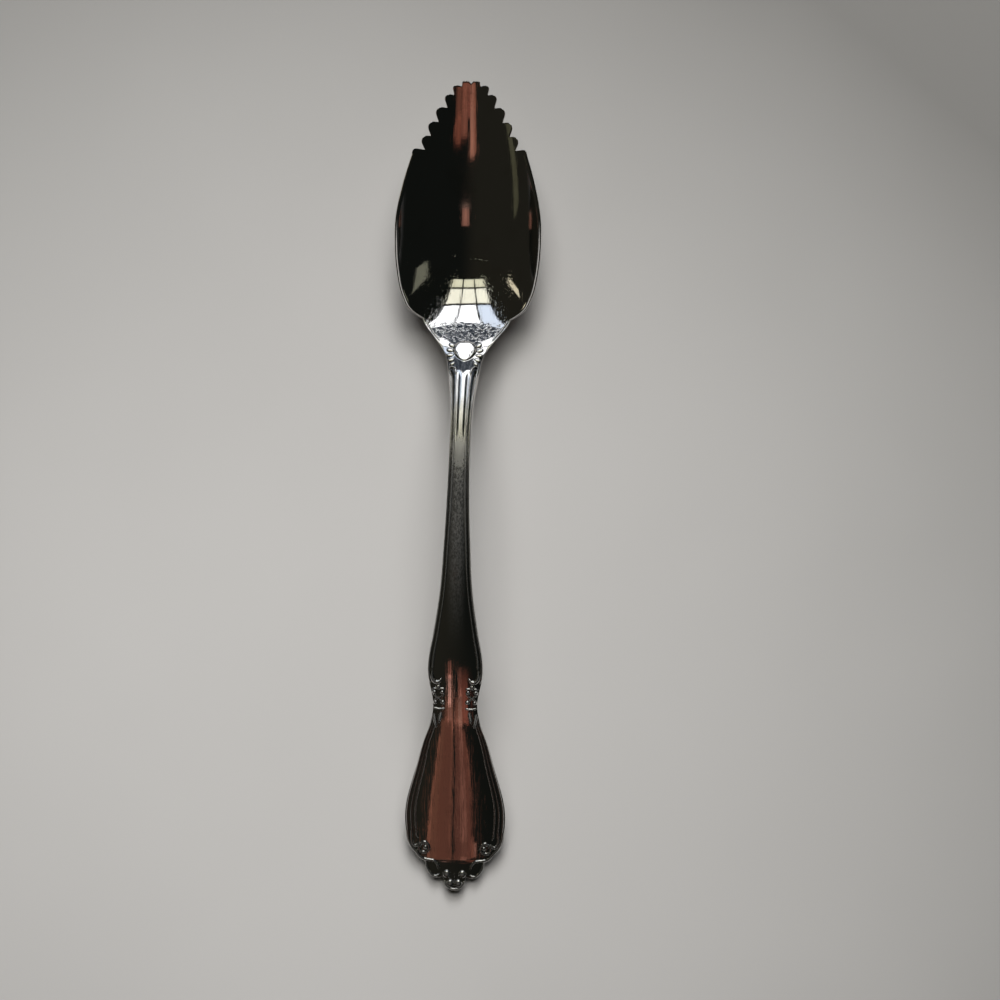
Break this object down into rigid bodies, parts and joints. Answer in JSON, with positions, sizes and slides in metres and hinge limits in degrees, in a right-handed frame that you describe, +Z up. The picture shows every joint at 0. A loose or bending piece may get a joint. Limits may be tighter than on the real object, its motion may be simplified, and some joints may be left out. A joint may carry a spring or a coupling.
{
  "type": "grapefruit spoon",
  "caption": "Table spoon with a pointed dished bowl, a serrated nose for cutting citrus flesh, and a coined, scroll-ended handle.",
  "frame": {"origin": "on the table the spoon lies on, below the middle of its length and width", "axes": "+Y from the handle to the serrated nose of the bowl, +X across the spoon, +Z up out of the bowl"},
  "size_m": [0.0298, 0.165, 0.0176],
  "materials": {
    "polished_steel": "mirror-polished stainless steel with fine wear scratches"
  },
  "bodies": {
    "root": {"serrated_tip": "polished_steel", "bowl": "polished_steel", "neck": "polished_steel", "stem": "polished_steel", "waist": "polished_steel", "handle_panel": "polished_steel", "handle_end": "polished_steel"}
  },
  "joints": []
}
